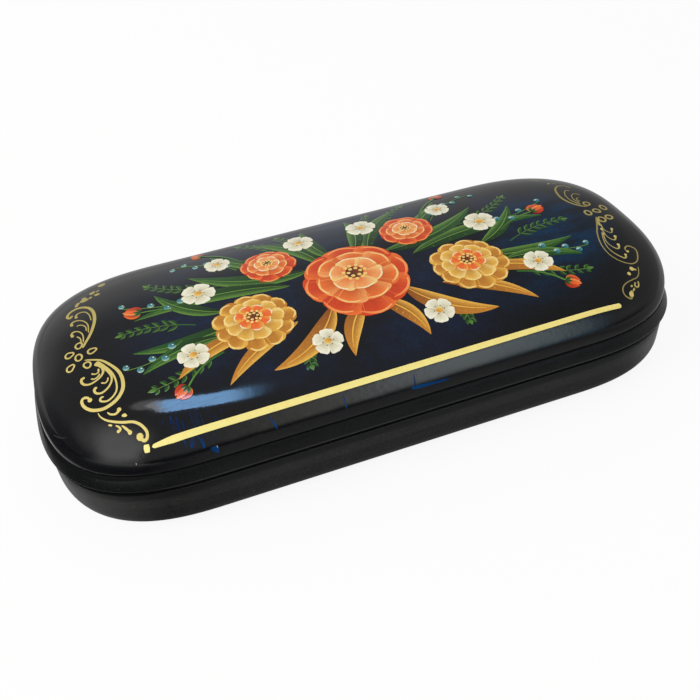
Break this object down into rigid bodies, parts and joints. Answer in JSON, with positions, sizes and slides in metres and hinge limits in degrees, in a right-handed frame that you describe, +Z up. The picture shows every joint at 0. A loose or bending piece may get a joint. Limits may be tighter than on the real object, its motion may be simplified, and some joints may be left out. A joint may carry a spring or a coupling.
{
  "type": "eyeglass case",
  "caption": "Hard spectacle case with a glossy domed lid on a satin rim, hinged at the back to a satin base with rounded ends and a velvet inside.",
  "frame": {"origin": "on the table, under the middle of the shut case's box, whose back face is the hinge barrel", "axes": "+X along the case and the hinge, +Y to the back where the hinge is, +Z up"},
  "size_m": [0.16, 0.0732, 0.0299],
  "materials": {
    "lacquer": "gloss",
    "satin_black": "satin",
    "velvet": "matte",
    "brass": "satin",
    "spring_steel": "satin"
  },
  "bodies": {
    "base": {"base_shell": "satin_black", "base_collar": "satin_black", "base_lining": "velvet", "base_pad": "velvet", "hinge_leaf_base": "brass", "hinge_pin": "brass", "hinge_spring": "spring_steel", "base_brad_1": "brass", "base_brad_2": "brass", "base_brad_3": "brass", "base_brad_4": "brass"},
    "lid": {"lid_dome": "lacquer", "lid_rim": "satin_black", "lid_lining": "velvet", "hinge_leaf_lid": "brass", "lid_brad_1": "brass", "lid_brad_2": "brass", "lid_brad_3": "brass", "lid_brad_4": "brass"}
  },
  "joints": [
    {"name": "lid_hinge", "type": "hinge", "parent": "base", "child": "lid", "pos_m": [0, 0.03505, 0.014], "axis": [-1, 0, 0], "range_deg": [0, 110]}
  ]
}
